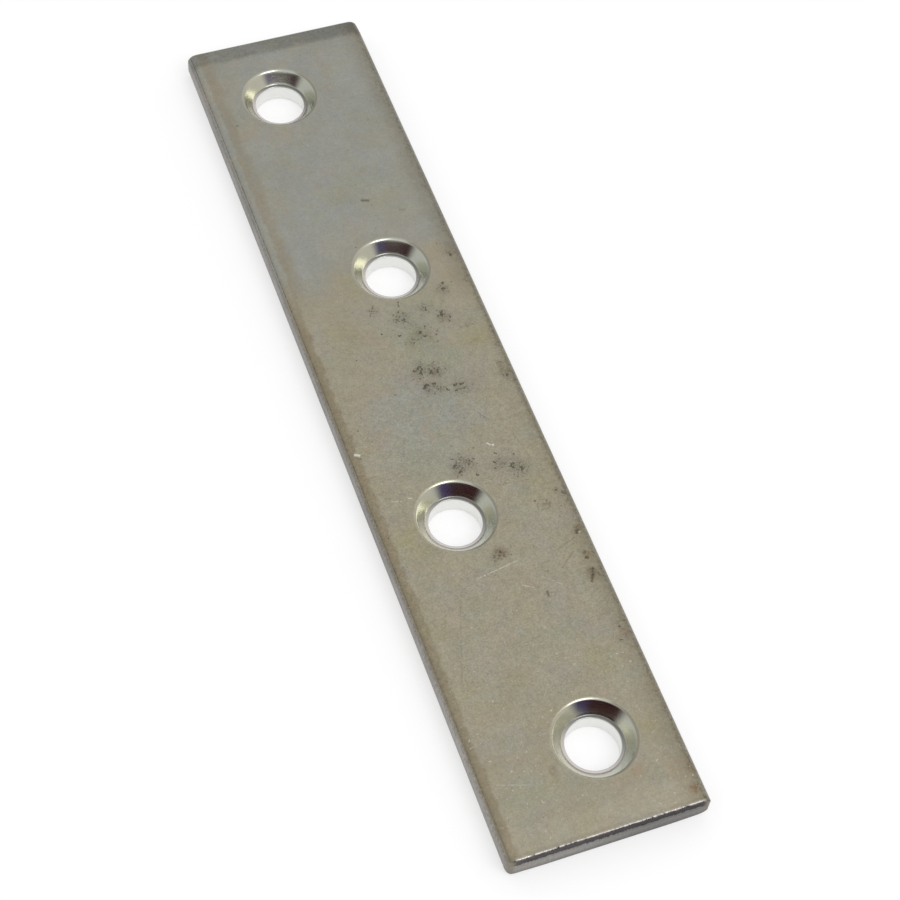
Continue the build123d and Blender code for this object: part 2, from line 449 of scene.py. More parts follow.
    def collar(self, numbers, cell, side):
        """Faces from a round opening out to its square cell. Returns the opening's ring."""
        (cx, cy), row, column = cell
        outer = self.border(numbers, column, row, column + CELL_STEPS, row + CELL_STEPS)
        angle = CELL_START + np.arange(len(outer)) * 2 * math.pi / len(outer)
        radius = self.top_collar if side > 0 else self.foot_collar
        uneven = ring_ripple(BEAD_SEED + int(cy))(angle)
        rows = []
        for out in (0.0, *BEAD[:-1]) if side > 0 else (0.0,):
            dip = BEAD_DEPTH * (BEAD_MEAN + BEAD_SWING * uneven) * math.sin(math.pi * out / BEAD[-1]) ** 2
            x, y = cx + (radius + out) * np.cos(angle), cy + (radius + out) * np.sin(angle)
            rows.append(self.on_face(x, y, side, dip))
        radius += BEAD[-1] if side > 0 else 0.0
        x0, y0 = cx + radius * np.cos(angle), cy + radius * np.sin(angle)
        x1, y1 = self.skin.points[outer, 0], self.skin.points[outer, 1]
        for step in range(0 if side > 0 else 1, COLLAR_STEPS):
            share = (step / COLLAR_STEPS) ** COLLAR_SPACING
            rows.append(self.on_face(x0 + (x1 - x0) * share, y0 + (y1 - y0) * share, side))
        rows.append(outer)
        self.weave_flat(rows, side)
        return {"centre": (cx, cy), "angle": angle, "ring": rows[0]}

    def hole_rings(self):
        """Radius, height, and bore, ring and wall masks of each row inside a hole, from its lip down."""
        floor_height, inner = THICKNESS - self.cone_depth, HOLE_RADIUS + BREAK_RADIUS
        rings = []
        for step in range(1, LIP_STEPS + 1):
            tilt = self.cone_tilt * step / LIP_STEPS
            radius = self.top_collar - self.lip * math.sin(tilt)
            rings.append((radius, THICKNESS - self.lip * (1 - math.cos(tilt)), step / LIP_STEPS, 0, 0))
        start, end = rings[-1][0], self.ledge + CONE_END
        for step in range(1, CONE_STEPS + 1):
            radius = start + (end - start) * step / CONE_STEPS
            height = floor_height + (radius - self.ledge) * math.tan(self.cone_tilt)
            rings.append((radius, height, 1, 0, 0))
        for outwards, up, ledge in GROOVE:
            rings.append((self.ledge + outwards, floor_height + up, 1, ledge, 0))
        rings.append(((self.ledge + inner) / 2, floor_height, 1, 1, 0))
        for step in range(BREAK_STEPS + 1):
            tilt = math.pi / 2 * step / BREAK_STEPS
            radius = inner - BREAK_RADIUS * math.sin(tilt)
            share = step / BREAK_STEPS
            rings.append((radius, floor_height - BREAK_RADIUS * (1 - math.cos(tilt)), 1, 1 - share, share))
        start = rings[-1][1]
        for step in range(1, LAND_STEPS + 1):
            rings.append((HOLE_RADIUS, start + (self.foot - start) * step / LAND_STEPS, 1, 0, 1))
        for step in range(1, FOOT_STEPS):
            tilt = math.pi / 2 * step / FOOT_STEPS
            radius = HOLE_RADIUS + self.foot * (1 - math.cos(tilt))
            share = 1 - step / FOOT_STEPS
            rings.append((radius, self.foot * (1 - math.sin(tilt)), share, 0, share))
        return rings

    def hole(self, number, top, foot):
        """The inside of one hole, from its soft lip down the countersink and the straight wall."""
        (cx, cy), angle = top["centre"], top["angle"]
        uneven = ring_ripple(HOLE_SEED + number)(angle)
        turned = {"flank": 0.5 + 0.5 * np.cos(angle), "front": 0.5 + 0.5 * np.cos(angle - CELL_START)}
        rows = [top["ring"]]
        for radius, height, bore, ledge, land in self.hole_rings():
            reach = min(1.0, max(0.0, (radius - HOLE_RADIUS) / HOLE_UNEVEN_REACH))
            radius = radius + HOLE_UNEVENNESS * math.sin(math.pi * reach) * uneven
            x, y = cx + radius * np.cos(angle), cy + radius * np.sin(angle)
            rows.append(self.skin.add(x, y, height, bore=bore, ledge=ledge, land=land, **turned))
        rows.append(foot["ring"])
        wall = 1 + LIP_STEPS + CONE_STEPS + len(GROOVE) + 1  # the row where the ring breaks into the wall
        self.weave_flat(rows[: wall + 1], 1)
        rows = np.array(rows[wall:])
        turn = np.arange(len(angle) + 1) / len(angle)
        along = 2 * HALF_LENGTH + WALL_STRIP_GAP + turn * 2 * math.pi * HOLE_RADIUS
        pitch = THICKNESS - self.cone_depth + WALL_STRIP_PITCH
        strip = WALL_STRIP_GAP + number * pitch + self.skin.points[rows[:, 0], 2]
        self.skin.weave(rows, *np.meshgrid(strip, along, indexing="ij"))

    def outline(self, border):
        """Where each place round the field's border meets the outline, and how much of an end it is."""
        points = self.skin.points[border]
        width_steps = np.sum(np.isclose(points[:, 1], points[0, 1])) - 1
        length_steps = len(border) // 2 - width_steps
        sides = (  # first place, steps, direction outwards, which end it is
            (0, width_steps, (0, -1), -1),
            (width_steps, length_steps, (1, 0), 0),
            (width_steps + length_steps, width_steps, (0, 1), 1),
            (2 * width_steps + length_steps, length_steps, (-1, 0), 0),
        )
        numbers, places, ends = [], [], []
        for index, (first, steps, normal, end) in enumerate(sides):
            for step in range(steps + 1):
                number = border[(first + step) % len(border)]
                x, y = self.skin.points[number, :2]
                numbers.append(number)
                places.append((x + normal[0] * RIM, y + normal[1] * RIM))
                ends.append(float(end))
            following = sides[(index + 1) % 4]
            fan = self.fan(places[-1], normal, following[2], self.corner * CORNER_WEAR[index])
            for step, place in enumerate(fan):
                numbers.append(number)
                places.append(place)
                share = float(smooth((step + 1) / (len(fan) + 1)))
                ends.append(end * (1 - share) + following[3] * share)
        return np.array(numbers), np.array(places), np.array(ends)

    def fan(self, start, normal, following, radius):
        """Places round one rounded corner, from the end of one side to the start of the next."""
        run = RIM - radius
        corner = (start[0] + following[0] * RIM, start[1] + following[1] * RIM)
        middle = [corner[k] - (normal[k] + following[k]) * radius for k in (0, 1)]
        shares = [math.sin(math.pi / 2 * step / FAN_STRAIGHT) for step in range(1, FAN_STRAIGHT + 1)]
        fan = [tuple(start[k] + following[k] * run * share for k in (0, 1)) for share in shares]
        for step in range(1, FAN_ARC + 1):
            turn = math.pi / 2 * step / FAN_ARC
            out = [normal[k] * math.cos(turn) + following[k] * math.sin(turn) for k in (0, 1)]
            fan.append(tuple(middle[k] + radius * out[k] for k in (0, 1)))
        last = fan[-1]
        for share in shares[-2::-1]:
            fan.append(tuple(last[k] - normal[k] * run * (1 - share) for k in (0, 1)))
        return fan

    def rim(self, borders):
        """The rounded edges and side walls, from the upper field's border down to the lower field's."""
        upper, places, ends = self.outline(borders[1])
        lower, _, _ = self.outline(borders[-1])
        inwards = (self.skin.points[upper, :2] - places) / RIM
        rows = {1: [upper], -1: [lower]}
        for side in (1, -1):
            rows[side].extend(self.edge_rows(side, places, inwards, ends))
            self.weave_flat(rows[side], side)
        self.weave_wall([rows[1][-1], *self.wall_rows(rows, inwards, ends), rows[-1][-1]], places)

    def edge_rows(self, side, places, inwards, ends):
        """Rows over the flat rim and the rounded edge of one face."""
        ending = np.abs(ends)
        sheared = (side * ends) < 0  # the sharp side of an end; the other side rolls over
        sharp = np.where(sheared, ending, 0.0)
        reach = self.edge * (1 - sharp) + self.shear_edge * sharp
        rows = []
        for step in range(1, RIM_FLAT + RIM_ROUND + 1):
            if step <= RIM_FLAT:
                share = 1 - (1 - step / RIM_FLAT) ** RIM_SPACING
                inset, tilt = RIM + (reach - RIM) * share, 0.0
            else:
                tilt = math.pi / 2 * (step - RIM_FLAT) / RIM_ROUND
                inset = reach * (1 - math.sin(tilt))
            x, y = (places + inwards * inset[:, None]).T
            fold = smooth(tilt / FOLD_TILT + FOLD_START - (inset - self.shear_edge) / FOLD_REACH)
            masks = {"bend": self.bend(x), "cut": self.shear_edge * (1 - math.cos(tilt))}
            if side > 0:
                masks["ending"] = np.where(sheared, fold * ending, 0.0)
                masks.update(self.face_masks(x, y, side))
            else:
                masks["ending"] = np.where(sheared, fold, rise(inset, ENDING_REACH, 0.0)) * ending
                masks["cut"] = np.where(sheared, masks["cut"], THICKNESS - self.roll_depth[side])
            rows.append(self.skin.add(x, y, self.face_height(x, y, side), **masks))
        return rows

    def wall_rows(self, rows, inwards, ends):
        """Rows down the side walls, with the torn band of each sheared end bitten into."""
        ending = np.abs(ends)
        top, bottom = (self.skin.points[rows[side][-1]] for side in (1, -1))
        wall = []
        for step in range(1, WALL_STEPS):
            x, y, z = (top + (bottom - top) * step / WALL_STEPS).T
            burr = np.where(ends < 0, top[:, 2], bottom[:, 2])
            depth = np.abs(z - burr) + self.shear_edge
            torn = ending * rise(depth, *TORN_TOP) * rise(depth, *TORN_FOOT)
            torn = torn * rise(HALF_WIDTH - np.abs(x), *TORN_CORNER)
            place = x * TEAR_LEAN[0] + z * TEAR_LEAN[1] + TEAR_LEAN[2] * ends
            bite = torn * (BITE + BITE_SWING * self.tear(place))
            x, y = x + bite * inwards[:, 0], y + bite * inwards[:, 1]
            wall.append(self.skin.add(x, y, z, ending=ending, cut=depth, bend=self.bend(x)))
        return wall

    def weave_wall(self, rows, places):
        """Joins the side walls' rows. Their flat pattern is two strips, each half of the way round."""
        step_length = np.hypot(*np.diff(np.vstack([places, places[:1]]), axis=0).T)
        run = np.concatenate([[0], np.cumsum(step_length)])
        half = run[-1] / 2
        strips = np.where(run[:-1] < half, 0.0, THICKNESS + PATTERN_GAP)
        strips = 4 * HALF_WIDTH + 2 * PATTERN_GAP + strips
        rows = np.array(rows)
        closed = np.hstack([rows, rows[:, :1]])
        for c, strip in enumerate(strips):
            along = (run[c] % half, run[c] % half + run[c + 1] - run[c])
            for r in range(len(rows) - 1):
                cells = ((r, c), (r, c + 1), (r + 1, c + 1), (r + 1, c))
                flat = [(strip + self.skin.points[closed[cell], 2], along[cell[1] - c]) for cell in cells]
                self.skin.face([closed[cell] for cell in cells], flat)

    def build(self):
        """Works out the whole skin."""
        borders, rings = {}, {}
        for side in (1, -1):
            borders[side], rings[side] = self.field(side)
        for number, (top, foot) in enumerate(zip(rings[1], rings[-1], strict=True)):
            self.hole(number, top, foot)
        self.rim(borders)
        return self.skin


def mesh_from_skin(name, skin):
    """Makes a smooth-shaded mesh in metres, with its zone masks and flat pattern."""
    mesh = bpy.data.meshes.new(name)
    mesh.from_pydata((skin.points * MM).tolist(), [], skin.faces)
    for zone in ZONES:
        layer = mesh.attributes.new(zone, "FLOAT", "POINT")
        layer.data.foreach_set("value", skin.masks[zone].astype(np.float32))
    pattern = np.array(skin.pattern)
    low, high = pattern.min(0) - PATTERN_MARGIN, pattern.max(0) + PATTERN_MARGIN
    flat = mesh.uv_layers.new(name="OFBake")
    flat.data.foreach_set("uv", ((pattern - low) / (high - low)).astype(np.float32).ravel())
    work = bmesh.new()
    work.from_mesh(mesh)
    bmesh.ops.recalc_face_normals(work, faces=work.faces)
    work.to_mesh(mesh)
    work.free()
    mesh.shade_smooth()
    mesh.validate()
    return mesh


# --- Finish. Places along, across and up the plate are in millimetres. ---


class Term:
    """The value of a shader socket, which can be reckoned with as plain numbers can."""

    def __init__(self, graph, socket):
        self.graph = graph
        self.socket = socket

    def __add__(self, other):
        return self.graph.math("ADD", self, other)

    def __radd__(self, other):
        return self.graph.math("ADD", other, self)

    def __sub__(self, other):
        return self.graph.math("SUBTRACT", self, other)

    def __rsub__(self, other):
        return self.graph.math("SUBTRACT", other, self)

    def __mul__(self, other):
        return self.graph.math("MULTIPLY", self, other)


class Graph:
    """Adds nodes to a tree, with a link or a plain value on each named socket."""

    def __init__(self, tree):
        self.tree = tree

    @classmethod
    def fresh(cls, owner):
        """Empties the node tree of a material or a world, and returns a graph for it."""
        owner.use_nodes = True
        owner.node_tree.nodes.clear()
        return cls(owner.node_tree)

    def add(self, kind, sockets=None, **settings):
        """Adds a shader node, with its settings and then its sockets."""
        node = self.tree.nodes.new("ShaderNode" + kind)
        for name, value in settings.items():
            setattr(node, name, value)
        for key, value in (sockets or {}).items():
            self.feed(node.inputs[key], value)
        return node

    def feed(self, socket, value):
        """Links a value to a socket, or sets the socket to a plain value."""
        value = value.socket if isinstance(value, Term) else value
        if isinstance(value, bpy.types.NodeSocket):
            self.tree.links.new(value, socket)
        else:
            socket.default_value = value

    def math(self, operation, *values, clamp=False):
        """Works out a number from numbers."""
        node = self.add("Math", dict(enumerate(values)), operation=operation, use_clamp=clamp)
        return Term(self, node.outputs[0])

    def vector(self, operation, *values, scale=None):
        """Works out a vector from vectors."""
        node = self.add("VectorMath", dict(enumerate(values)), operation=operation)
        if scale is not None:
            self.feed(node.inputs["Scale"], scale)
        return node.outputs["Vector"]

    def measure(self, operation, *values):
        """Works out a number from vectors."""
        node = self.add("VectorMath", dict(enumerate(values)), operation=operation)
        return Term(self, node.outputs["Value"])

    def split(self, vector):
        """The three numbers of a vector."""
        return [Term(self, part) for part in self.add("SeparateXYZ", {0: vector}).outputs]

    def shade(self, colour, value):
        """Multiplies a colour by a number."""
        return self.vector("SCALE", colour, scale=value)

    def mix(self, factor, first, second):
        """Goes from one colour to another."""
        return self.add("Mix", {0: factor, 6: first, 7: second}, data_type="RGBA").outputs[2]

    def blend(self, factor, first, second):
        """Goes from one number to another."""
        return Term(self, self.add("Mix", {0: factor, 2: first, 3: second}, data_type="FLOAT").outputs[0])

    def span(self, value, low, high, to_low=0.0, to_high=1.0):
        """Goes from to_low where the value is low to to_high where it is high, with soft ends."""
        sockets = {"Value": value, "From Min": low, "From Max": high, "To Min": to_low, "To Max": to_high}
        return Term(self, self.add("MapRange", sockets, interpolation_type="SMOOTHSTEP").outputs["Result"])

    def fall(self, value, low, high):
        """Goes from 1 where the value is low to 0 where it is high, with soft ends."""
        return self.span(value, low, high, 1.0, 0.0)

    def noise(self, position, scale, detail, roughness, stretch=None):
        """Noise from 0 to 1. stretch makes it finer along some axes than along others."""
        if stretch:
            position = self.vector("MULTIPLY", position, stretch)
        sockets = {"Vector": position, "Scale": scale, "Detail": detail, "Roughness": roughness}
        return Term(self, self.add("TexNoise", sockets).outputs["Fac"])

    def mask(self, zone):
        """One of the mesh's zone masks."""
        return Term(self, self.add("Attribute", attribute_name=zone).outputs["Fac"])


def new_group(name, **inputs):
    """Starts a node group that gives a mask. An input with a default is a number, one with None a vector."""
    group = bpy.data.node_groups.new(name, "ShaderNodeTree")
    for label, default in inputs.items():
        kind = "NodeSocketVector" if default is None else "NodeSocketFloat"
        socket = group.interface.new_socket(label, in_out="INPUT", socket_type=kind)
        if default is not None:
            socket.default_value = default
    group.interface.new_socket("Mask", in_out="OUTPUT", socket_type="NodeSocketFloat")
    given, result = group.nodes.new("NodeGroupInput").outputs, group.nodes.new("NodeGroupOutput").inputs
    return Graph(group), given, result["Mask"]


def cloud_group():
    """Soft patches of a given size."""
    graph, given, result = new_group("Cloudy patches", Position=None, Size=5.0, Low=0.4, High=0.6)
    value = graph.noise(given["Position"], graph.math("DIVIDE", 1.0, given["Size"]), 3.0, 0.55)
    graph.feed(result, graph.span(value, given["Low"], given["High"]))
    return graph.tree


def speck_group():
    """Small irregular specks that crowd together where Cover is high."""
    graph, given, result = new_group("Specks", Position=None, Size=0.3, Cover=0.0)
    value = graph.noise(given["Position"], graph.math("DIVIDE", 1.0, given["Size"]), 2.0, 0.6)
    edge = graph.math("MULTIPLY_ADD", given["Cover"], SPECK_COVER, SPECK_EDGE)
    graph.feed(result, graph.span(value, edge, edge + SPECK_SOFTNESS))
    return graph.tree


def scratch_group():
    """One fine straight scratch from Start to End, fading at both ends. Broken varies its width."""
    graph, given, result = new_group("Scratch", Position=None, Start=None, End=None, Width=0.05, Broken=1.0)
    along = graph.vector("SUBTRACT", given["End"], given["Start"])
    apart = graph.vector("SUBTRACT", given["Position"], given["Start"])
    run, whole = graph.measure("DOT_PRODUCT", apart, along), graph.measure("DOT_PRODUCT", along, along)
    share = graph.math("DIVIDE", run, whole, clamp=True)
    nearest = graph.vector("SCALE", along, scale=share)
    gap = graph.measure("LENGTH", graph.vector("SUBTRACT", apart, nearest))
    line = graph.fall(gap, 0.0, graph.math("MULTIPLY", given["Width"], given["Broken"]))
    graph.feed(result, line * graph.span(share * (1.0 - share), 0.0, SCRATCH_FADE))
    return graph.tree


class ZincPainter:
    """Builds the zinc plating's nodes: an olive passivation, mottled, specked and lightly scratched, with
    painted light and shade on its edges, ends and holes.
    """

    def __init__(self, finish):
        self.finish = finish
        self.material = bpy.data.materials.new(SLOT)
        graph = self.graph = Graph.fresh(self.material)
        self.place = graph.vector("SCALE", graph.add("TexCoord").outputs["Object"], scale=1 / MM)
        self.x, self.y, self.z = graph.split(self.place)
        self.groups = {"cloud": cloud_group(), "speck": speck_group(), "scratch": scratch_group()}
        self.masks = {zone: graph.mask(zone) for zone in ZONES}
        self.edge_gap = HALF_WIDTH - graph.math("ABSOLUTE", self.x)
        self.left = graph.fall(self.x, -1.0, 1.0)
        self.calm = graph.fall(self.masks["bore"], 0.0, 0.4)
        self.ragged = graph.noise(self.place, 0.9, 4.0, 0.65) - 0.5
        self.torn = graph.noise(self.place, 4.5, 4.0, 0.7)
        self.broken = graph.span(graph.noise(self.place, 5.0, 2.0, 0.6), 0.35, 0.65, 0.1, 1.4)

    def group(self, kind, shift=0.0, **sockets):
        """Adds a node group and returns its mask. shift moves its pattern to another part of the noise."""
        place = self.graph.vector("ADD", self.place, (shift, shift, shift)) if shift else self.place
        node = self.graph.add("Group", node_tree=self.groups[kind])
        for label, value in {"Position": place, **sockets}.items():
            self.graph.feed(node.inputs[label], value)
        return Term(self.graph, node.outputs["Mask"])

    def hue(self, name):
        """One of the finish's colours with full opacity. Blender keeps it linear already."""
        return (*getattr(self.finish, name + "_colour"), 1.0)

    def tinted(self, colour, mask, name):
        """Mixes a colour towards one of the finish's by a mask."""
        return self.graph.mix(mask, colour, self.hue(name))

    def face_hue(self):
        """The passivation's colour: bluish towards the far end, mottled and blotted everywhere."""
        graph, finish = self.graph, self.finish
        wander = self.group("cloud", Size=6.0, Low=0.3, High=0.7)
        far = graph.span(graph.math("MULTIPLY_ADD", wander, 6.0, self.y), 12.0, 20.0, 0.0, finish.far_tint)
        colour = self.tinted(self.hue("face"), far, "cool")
        depth = graph.span(self.ragged, -0.15, 0.15, 0.65, 1.25)
        for name in ("cool", "green", "olive", "tan"):
            colour = self.tinted(colour, self.masks[name] * depth, name)
        fade = graph.span(self.y, 2.0, 14.0, 0.75, 0.5)
        for shift, size, low, high, name, weight in MOTTLES:
            mottle = self.group("cloud", shift=shift, Size=size, Low=low, High=high) * fade
            colour = self.tinted(colour, mottle * (finish.mottle * weight), name)
        return colour

    def edge_bands(self, colour):
        """Browner bands beside the long edges, flecked on the right, then the walls and a painted shade line
        along the rounded edges.
        """
        graph, finish, bend = self.graph, self.finish, self.masks["bend"]
        right = 1.0 - self.left
        gap = graph.math("MULTIPLY_ADD", self.ragged, 1.1, self.edge_gap)
        middle = graph.fall(self.y, 5.0, 12.0) * graph.span(self.y, -20.0, -12.0)

        # Left band: against the edge, and a little way in from it in the farther half
        inner = graph.span(gap, 0.6, 0.9) * graph.span(gap, 1.2, 2.2, 0.6, 0.0)
        band = graph.blend(graph.span(self.y, 7.0, 15.0), graph.fall(gap, 0.72, 1.05), inner)
        band = band * graph.span(self.y, -28.0, -18.0, 0.88, 0.95) * self.left
        colour = self.tinted(colour, band * finish.edge_strength, "edge")

        # Right band: a wide faint one under a narrow strong one
        wide = graph.span(gap, 0.6, 2.5, 0.6, 0.0) * graph.blend(middle, 1.0, 0.4)
        narrow = graph.span(gap, 0.3, 1.2, graph.span(self.y, -22.0, -10.0, 0.35, 0.72), 0.0)
        band = graph.math("MAXIMUM", wide, narrow) * right
        colour = self.tinted(colour, band * finish.edge_strength, "band")
        flecks = graph.span(self.torn, 0.47, 0.6) * graph.fall(gap, 0.3, 1.15) * right
        colour = self.tinted(colour, flecks * 0.42, "speck")

        # Side walls, with random mottling and painted shade towards the far end and at the near tip, and the
        # painted shade line where they start
        mottle_and_shade = graph.span(self.torn, 0.32, 0.68, 0.7, 1.16) * graph.span(self.y, -32.0, -14.0, 1.0, 0.8)
        mottle_and_shade = mottle_and_shade * graph.span(self.y, -39.6, -36.5, 0.8, 1.0)
        wall = graph.shade(self.hue("wall")[:3], mottle_and_shade)
        colour = graph.mix(graph.span(bend, 0.58, 0.7, 0.0, 0.95), colour, wall)
        # Painted shade: a dark line along the rounded long edges, stronger on the left
        crease = graph.span(bend, 0.44, 0.50) * graph.fall(bend, 0.52, 0.58)
        crease = crease * graph.span(self.y, -26.0, -12.0, 0.7, 1.0)
        crease = crease * graph.span(self.torn, 0.38, 0.60, 0.4, 1.9) * graph.blend(self.left, 0.3, 1.0)
        return self.tinted(colour, crease * finish.shade_line_strength, "crease")

    def tone(self, grain):
        """Light and dark over the faces: soft blotches, a painted light strip along the near end that is
        darker at its very edge, and a fine grain, fainter in the farther half.
        """
        graph, finish = self.graph, self.finish
        blotch = self.group("cloud", Size=1.9, Low=0.25, High=0.75)
        # Painted light: a lighter strip along the near end, darker at its very edge
        tone = graph.blend(blotch, 0.965, 1.04) * graph.span(self.y, -38.2, -37.4, 1.08, 1.0)
        tone = tone * graph.span(self.y, -39.75, -39.45, 0.88, 1.0)
        swing = graph.span(self.y, -6.0, 16.0, finish.grain, finish.grain * 0.5)
        swing = swing * graph.span(self.y, -36.0, -24.0, 0.7, 1.0)
        medium = (graph.noise(self.place, 2.4, 3.0, 0.65) - 0.5) * 5.0
        return tone * graph.math("MULTIPLY_ADD", medium + (grain - 0.5) * 9.0, swing, 1.0)

    def specks(self):
        """Fine dark specks: crowded in the scuffed patches, rare elsewhere, none inside the holes."""
        graph, scuff = self.graph, self.masks["scuff"]
        busy = graph.span(self.y, -30.0, -8.0) * graph.span(self.y, 8.0, 14.0, 1.0, 0.1)
        crowd = scuff * 1.05
        fine = self.group("speck", Size=0.18, Cover=graph.math("MAXIMUM", crowd, busy * 0.42) * 0.88)
        coarse = self.group("speck", shift=17.0, Size=0.42, Cover=crowd)
        depth = graph.math("MULTIPLY_ADD", scuff, 0.5, 0.4)
        both = graph.math("MAXIMUM", fine * depth, coarse * 0.9)
        haze = graph.span(scuff, 0.15, 1.0) * graph.span(self.torn, 0.35, 0.65, 0.12, 0.42)
        return graph.math("MAXIMUM", both, haze) * self.calm

    def sparkles(self):
        """A few tiny pale points in the nearer half."""
        near = self.graph.span(self.y, -30.0, -12.0, 0.3, 0.0)
        return self.group("speck", shift=31.0, Size=0.27, Cover=near) * self.calm

    def scratches(self, lines):
        """All the scratches of one table as one mask. Only the narrow ones are broken up."""
        total = None
        for x0, y0, x1, y1, width, strength in lines:
            ends = {"Start": (x0, y0, THICKNESS), "End": (x1, y1, THICKNESS)}
            broken = self.broken if width < WIDE_SCRATCH else WIDE_SCRATCH_SHARE
            line = self.group("scratch", Width=width, Broken=broken, **ends) * strength
            total = line if total is None else self.graph.math("MAXIMUM", total, line)
        return total

    def rolled_end(self, colour):
        """The rolled-over top of the far end in painted shade: dimmer, more so to the right, with a soft
        ragged start.
        """
        graph, finish = self.graph, self.finish
        gap = graph.math("MULTIPLY_ADD", self.torn - 0.5, 0.5, HALF_LENGTH - self.y)
        gap = graph.math("MULTIPLY_ADD", self.ragged, 0.9, gap)
        top = graph.span(self.z, THICKNESS / 2, THICKNESS / 2 + 0.2)
        # Painted shade: the rolled-over band and the shoulder before it are darkened, more so to the right
        roll, shoulder = graph.fall(gap, 1.15, 2.05) * top, graph.fall(gap, 1.3, 2.5) * top
        painted_roll_shade = graph.span(self.x, -7.5, 7.5, 1.05, 0.88) * finish.roll_shade_tone
        painted_roll_shade = painted_roll_shade * graph.span(self.torn, 0.3, 0.7, 0.86, 1.1)
        colour = graph.shade(colour, graph.blend(shoulder, 1.0, 0.92))
        colour = graph.shade(colour, graph.blend(roll, 1.0, painted_roll_shade))
        line = roll * (1.0 - roll) * graph.span(self.ragged, -0.12, 0.12, 0.1, 1.0)
        return self.tinted(colour, line, "speck")

    def cut_zones(self):
        """Masks of a sheared end's bright burr, torn band and smooth foot, with ragged borders."""
        graph, cut, ending = self.graph, self.masks["cut"], self.masks["ending"]
        drag = graph.noise(self.place, 1.0, 3.0, 0.6, stretch=(9.0, 9.0, 0.8))
        teeth = graph.noise(self.place, 1.0, 4.0, 0.7, stretch=(2.6, 2.6, 0.6))
        below = graph.span(graph.math("MULTIPLY_ADD", teeth - 0.5, 0.45, cut), 0.015, 0.105)
        foot = graph.span(graph.math("MULTIPLY_ADD", drag - 0.5, 0.5, cut), 0.86, 1.0)
        middle = ending * graph.fall(self.masks["bend"], 0.08, 0.5)
        return (1.0 - below) * middle, below * (1.0 - foot) * middle, foot * ending, drag

    def sheared_ends(self, colour, zones):
        """Colours of the sheared ends: random mottling, painted shade to the right and at the foot, and
        painted shade at the corners.
        """
        graph = self.graph
        burr, torn, foot, drag = zones
        colour = self.tinted(self.tinted(colour, foot, "burnish"), torn, "fracture")
        # Random mottling, with painted shade: darker to the right and towards the foot
        mottle_and_shade = graph.span(self.torn, 0.3, 0.7, 0.8, 1.1) * graph.span(drag, 0.3, 0.7, 0.88, 1.08)
        low = graph.math("MULTIPLY_ADD", self.ragged, 0.4, self.z)
        mottle_and_shade = mottle_and_shade * graph.span(self.x, -4.0, 3.5, 0.96, 0.57) * graph.span(low, 0.15, 1.1, 0.46, 1.0)
        colour = graph.shade(colour, graph.blend(graph.math("MAXIMUM", torn, foot), 1.0, mottle_and_shade))
        # Partly painted highlight: the burr along the sharp edge is brighter than the zinc
        bright = graph.shade(self.hue("burr")[:3], graph.span(self.torn, 0.35, 0.65, 0.72, 1.15))
        colour = graph.mix(burr, colour, bright)
        # Painted shade at the corners of the ends, deeper low down
        corner = self.masks["ending"] * graph.span(self.masks["bend"], 0.08, 0.4, 0.0, 0.6)
        return self.tinted(colour, corner * graph.span(low, 0.2, 1.4, 1.6, 1.0), "crease")

    def holes(self, colour):
        """Brighter zinc inside the holes, partly a painted reflection: a painted creamy sheen to the left of
        each, greener to the right, painted shade on the lips and rings, and near-white walls as a painted
        reflection.
        """
        graph = self.graph
        bore, ledge, land, flank, front = (self.masks[zone] for zone in ZONES[:5])
        # Painted reflection: a creamy sheen on the left of each countersink, and lighter greenish zinc on the
        # right
        side = graph.span(flank, 0.1, 0.75)
        colour = graph.mix(bore, colour, self.tinted(self.hue("cream"), side, "bore"))
        # Painted shade on the lips' right side, except towards the far side, where they stay bright
        lip_shade_reach = graph.math("MAXIMUM", graph.span(flank, 0.8, 0.9), graph.span(front, 0.25, 0.5))
        lip = bore * (1.0 - bore) * graph.span(side, 0.4, 0.9, 0.0, 3.0) * lip_shade_reach
        colour = self.tinted(colour, lip, "band")
        # Painted light and shade on the flat rings: light on the near side, shade on the far right and in the
        # outer groove
        ring = self.tinted(self.hue("shade"), graph.span(front, 0.0, 1.0), "ledge")
        groove = ledge * (1.0 - ledge) * graph.span(front, 0.25, 0.7, 3.6, 0.0)
        colour = self.tinted(graph.mix(ledge, colour, ring), groove, "shade")
        # Painted reflection: the straight walls are near-white
        return self.tinted(colour, land, "land")

    def build(self):
        """Joins everything into one metal shader and returns the material."""
        graph, finish, masks = self.graph, self.finish, self.masks
        grain = graph.noise(self.place, 6.5, 3.0, 0.75)
        specks, zones = self.specks(), self.cut_zones()
        light, dark = self.scratches(LIGHT_SCRATCHES), self.scratches(DARK_SCRATCHES)
        _, torn, foot, drag = zones
        stain = masks["rust"] * graph.span(self.torn, 0.35, 0.6, 0.4, 1.3)
        colour = self.tinted(self.edge_bands(self.face_hue()), stain, "rust")
        colour = graph.shade(colour, self.tone(grain))
        colour = self.tinted(colour, specks * finish.speck_strength, "speck")
        colour = self.tinted(colour, dark * DARK_STRENGTH, "speck")
        colour = self.tinted(colour, self.sparkles() * SPARKLE_STRENGTH, "bright")
        colour = self.tinted(colour, light * LIGHT_STRENGTH, "bright")
        colour = self.holes(self.sheared_ends(self.rolled_end(colour), zones))

        patch = self.group("cloud", shift=3.0, Size=4.0, Low=0.36, High=0.66)
        rough = graph.span(patch, 0.0, 1.0, finish.roughness - 0.03, finish.roughness + 0.04)
        for mask, value in (
            (masks["bore"], finish.bore_roughness),
            (masks["land"], 0.35),
            (foot, 0.33),
            (torn, 0.55),
            (specks, 0.6),
        ):
            rough = graph.blend(mask, rough, value)

